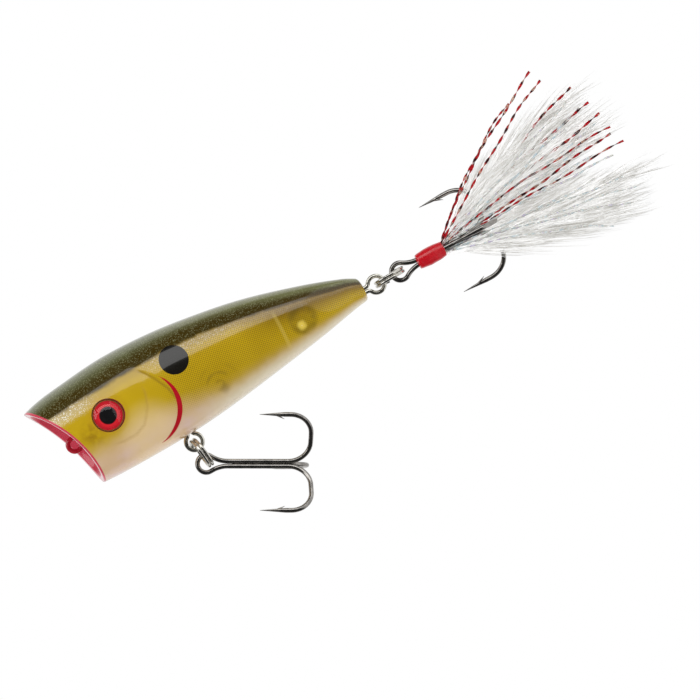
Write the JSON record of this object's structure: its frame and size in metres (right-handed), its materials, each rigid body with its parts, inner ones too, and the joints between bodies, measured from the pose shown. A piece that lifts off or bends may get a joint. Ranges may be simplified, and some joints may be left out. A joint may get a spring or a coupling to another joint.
{
  "type": "topwater popper",
  "caption": "Cup-faced surface fishing lure with a hollow two-part body, split rings, a belly treble and a feather-dressed tail treble.",
  "frame": {"origin": "centre of the line-tie eye in the cupped mouth", "axes": "+Z towards the nose, up the line that the lure hangs from; +X towards the back; -Y towards the lure's left flank"},
  "size_m": [0.0538, 0.0266, 0.1312],
  "materials": {
    "shell": "translucent, painted and clear coated",
    "stainless_wire": "bright drawn wire",
    "ring_nickel": "nickel plated",
    "hook_steel": "black nickel plate",
    "eye_foil": "red foil with a black pupil",
    "eye_dome": "clear epoxy dome",
    "ballast": "turned",
    "rattle_steel": "polished balls",
    "lacquered_thread": "lacquered winding",
    "hackle": "soft fibres",
    "red_film": "metallic film",
    "pearl_film": "pearlescent film"
  },
  "bodies": {
    "lure_body": {"body_shell_left": "shell", "body_shell_right": "shell", "line_tie": "stainless_wire", "belly_hanger": "stainless_wire", "tail_hanger": "stainless_wire", "eye_foil_left": "eye_foil", "eye_foil_right": "eye_foil", "eye_dome_left": "eye_dome", "eye_dome_right": "eye_dome", "front_slug": "ballast", "rear_slug": "ballast"},
    "upper_rattle": {"rattle_ball_upper": "rattle_steel"},
    "lower_rattle": {"rattle_ball_lower": "rattle_steel"},
    "belly_ring": {"belly_split_ring": "ring_nickel"},
    "belly_treble": {"belly_double_hook": "hook_steel", "belly_third_hook": "hook_steel"},
    "tail_ring": {"tail_split_ring": "ring_nickel"},
    "tail_treble": {"tail_double_hook": "hook_steel", "tail_third_hook": "hook_steel", "thread_wrap": "lacquered_thread", "hackle_upper": "hackle", "hackle_lower": "hackle", "hackle_far": "hackle", "red_flash": "red_film", "pearl_flash": "pearl_film"}
  },
  "joints": [
    {"name": "belly_ring_swing", "type": "hinge", "parent": "lure_body", "child": "belly_ring", "pos_m": [-0.01298, 0, -0.02119], "axis": [-0.1132, 0, 0.9936], "range_deg": [-45, 45]},
    {"name": "belly_treble_swing", "type": "hinge", "parent": "belly_ring", "child": "belly_treble", "pos_m": [-0.01554, 0, -0.02148], "axis": [0, 1, 0], "range_deg": [-4, 112]},
    {"name": "tail_ring_swing", "type": "hinge", "parent": "lure_body", "child": "tail_ring", "pos_m": [0, 0, -0.0669], "axis": [0, 1, 0], "range_deg": [-75, 75]},
    {"name": "tail_treble_swing", "type": "hinge", "parent": "tail_ring", "child": "tail_treble", "pos_m": [0, 0, -0.06988], "axis": [1, 0, 0], "range_deg": [-75, 75]},
    {"name": "upper_rattle_roll", "type": "slide", "parent": "lure_body", "child": "upper_rattle", "axis": [0, 0, 1], "range_m": [0, 0.0081]},
    {"name": "lower_rattle_roll", "type": "slide", "parent": "lure_body", "child": "lower_rattle", "axis": [0, 0, 1], "range_m": [0, 0.0081]}
  ]
}
